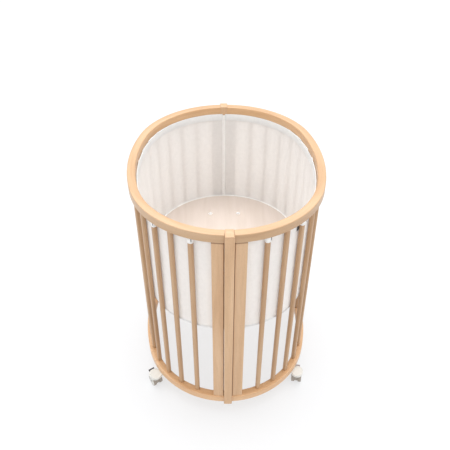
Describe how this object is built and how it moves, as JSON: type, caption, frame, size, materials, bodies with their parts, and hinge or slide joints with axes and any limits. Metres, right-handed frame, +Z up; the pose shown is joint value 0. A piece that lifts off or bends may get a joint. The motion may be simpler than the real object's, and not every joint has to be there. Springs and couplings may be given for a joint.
{
  "type": "baby crib",
  "caption": "Small oval slatted wooden baby crib on twin-wheel casters, with a sheer liner and a height-adjustable perforated mattress base.",
  "frame": {"origin": "on the floor, under the middle of the crib", "axes": "+Z up; Y along the crib's length, -Y towards the front centre post; X across its width"},
  "size_m": [0.6738, 0.85, 0.89],
  "materials": {
    "beech": "satin lacquered beech",
    "pale_ply": "satin lacquered birch plywood",
    "liner_cloth": "matt sheer weave",
    "tag_cloth": "matt woven tape",
    "cream_plastic": "satin moulded",
    "grey_tread": "matt",
    "lever_plastic": "matt",
    "steel": "zinc plated",
    "brass": "plain"
  },
  "bodies": {
    "frame": {"top_rail_left": "beech", "top_rail_right": "beech", "bottom_rail_left": "beech", "bottom_rail_right": "beech", "slats_left": "beech", "slats_right": "beech", "end_posts_left": "beech", "end_posts_right": "beech", "center_post_front": "beech", "center_post_rear": "beech", "rail_dowels": "beech", "frame_bolts": "steel", "sleeve_nuts": "steel", "post_bolts": "steel", "post_nuts": "steel", "joining_plates": "steel", "plate_screws": "steel", "height_inserts": "brass", "liner_left": "liner_cloth", "liner_right": "liner_cloth", "liner_zips": "liner_cloth", "liner_piping": "liner_cloth", "liner_straps": "liner_cloth", "liner_tag": "tag_cloth", "caster_brackets": "cream_plastic", "bracket_screws": "steel", "caster_stems": "steel"},
    "mattress_base": {"mattress_board": "pale_ply", "base_battens": "beech", "base_brackets": "steel", "base_bolts": "steel", "base_screws": "steel"},
    "caster_front_left": {"hood_front_left": "cream_plastic", "pins_front_left": "steel"},
    "wheel_a_front_left_body": {"wheel_a_front_left": "grey_tread"},
    "wheel_b_front_left_body": {"wheel_b_front_left": "grey_tread"},
    "brake_front_left_body": {"brake_front_left": "lever_plastic"},
    "caster_front_right": {"hood_front_right": "cream_plastic", "pins_front_right": "steel"},
    "wheel_a_front_right_body": {"wheel_a_front_right": "grey_tread"},
    "wheel_b_front_right_body": {"wheel_b_front_right": "grey_tread"},
    "brake_front_right_body": {"brake_front_right": "lever_plastic"},
    "caster_rear_left": {"hood_rear_left": "cream_plastic", "pins_rear_left": "steel"},
    "wheel_a_rear_left_body": {"wheel_a_rear_left": "grey_tread"},
    "wheel_b_rear_left_body": {"wheel_b_rear_left": "grey_tread"},
    "brake_rear_left_body": {"brake_rear_left": "lever_plastic"},
    "caster_rear_right": {"hood_rear_right": "cream_plastic", "pins_rear_right": "steel"},
    "wheel_a_rear_right_body": {"wheel_a_rear_right": "grey_tread"},
    "wheel_b_rear_right_body": {"wheel_b_rear_right": "grey_tread"},
    "brake_rear_right_body": {"brake_rear_right": "lever_plastic"}
  },
  "joints": [
    {"name": "base_height", "type": "slide", "parent": "frame", "child": "mattress_base", "axis": [0, 0, 1], "range_m": [-0.26, 0]},
    {"name": "swivel_front_left", "type": "hinge", "parent": "frame", "child": "caster_front_left", "pos_m": [-0.28151, -0.2852, 0.05], "axis": [0, 0, 1], "continuous": true},
    {"name": "roll_a_front_left", "type": "hinge", "parent": "caster_front_left", "child": "wheel_a_front_left_body", "pos_m": [-0.28822, -0.27525, 0.023], "axis": [-0.829, -0.5592, 0], "continuous": true},
    {"name": "roll_b_front_left", "type": "hinge", "parent": "caster_front_left", "child": "wheel_b_front_left_body", "pos_m": [-0.28822, -0.27525, 0.023], "axis": [-0.829, -0.5592, 0], "continuous": true},
    {"name": "brake_lever_front_left", "type": "hinge", "parent": "caster_front_left", "child": "brake_front_left_body", "pos_m": [-0.29549, -0.26448, 0.047], "axis": [-0.829, -0.5592, 0], "range_deg": [0, 14]},
    {"name": "swivel_front_right", "type": "hinge", "parent": "frame", "child": "caster_front_right", "pos_m": [0.28151, -0.2852, 0.05], "axis": [0, 0, 1], "continuous": true},
    {"name": "roll_a_front_right", "type": "hinge", "parent": "caster_front_right", "child": "wheel_a_front_right_body", "pos_m": [0.28339, -0.27335, 0.023], "axis": [-0.9877, 0.1564, 0], "continuous": true},
    {"name": "roll_b_front_right", "type": "hinge", "parent": "caster_front_right", "child": "wheel_b_front_right_body", "pos_m": [0.28339, -0.27335, 0.023], "axis": [-0.9877, 0.1564, 0], "continuous": true},
    {"name": "brake_lever_front_right", "type": "hinge", "parent": "caster_front_right", "child": "brake_front_right_body", "pos_m": [0.28542, -0.26051, 0.047], "axis": [-0.9877, 0.1564, 0], "range_deg": [0, 14]},
    {"name": "swivel_rear_left", "type": "hinge", "parent": "frame", "child": "caster_rear_left", "pos_m": [-0.28151, 0.2852, 0.05], "axis": [0, 0, 1], "continuous": true},
    {"name": "roll_a_rear_left", "type": "hinge", "parent": "caster_rear_left", "child": "wheel_a_rear_left_body", "pos_m": [-0.28462, 0.29679, 0.023], "axis": [-0.9659, -0.2588, 0], "continuous": true},
    {"name": "roll_b_rear_left", "type": "hinge", "parent": "caster_rear_left", "child": "wheel_b_rear_left_body", "pos_m": [-0.28462, 0.29679, 0.023], "axis": [-0.9659, -0.2588, 0], "continuous": true},
    {"name": "brake_lever_rear_left", "type": "hinge", "parent": "caster_rear_left", "child": "brake_rear_left_body", "pos_m": [-0.28798, 0.30935, 0.047], "axis": [-0.9659, -0.2588, 0], "range_deg": [0, 14]},
    {"name": "swivel_rear_right", "type": "hinge", "parent": "frame", "child": "caster_rear_right", "pos_m": [0.28151, 0.2852, 0.05], "axis": [0, 0, 1], "continuous": true},
    {"name": "roll_a_rear_right", "type": "hinge", "parent": "caster_rear_right", "child": "wheel_a_rear_right_body", "pos_m": [0.28462, 0.29679, 0.023], "axis": [-0.9659, 0.2588, 0], "continuous": true},
    {"name": "roll_b_rear_right", "type": "hinge", "parent": "caster_rear_right", "child": "wheel_b_rear_right_body", "pos_m": [0.28462, 0.29679, 0.023], "axis": [-0.9659, 0.2588, 0], "continuous": true},
    {"name": "brake_lever_rear_right", "type": "hinge", "parent": "caster_rear_right", "child": "brake_rear_right_body", "pos_m": [0.28798, 0.30935, 0.047], "axis": [-0.9659, 0.2588, 0], "range_deg": [0, 14]}
  ]
}
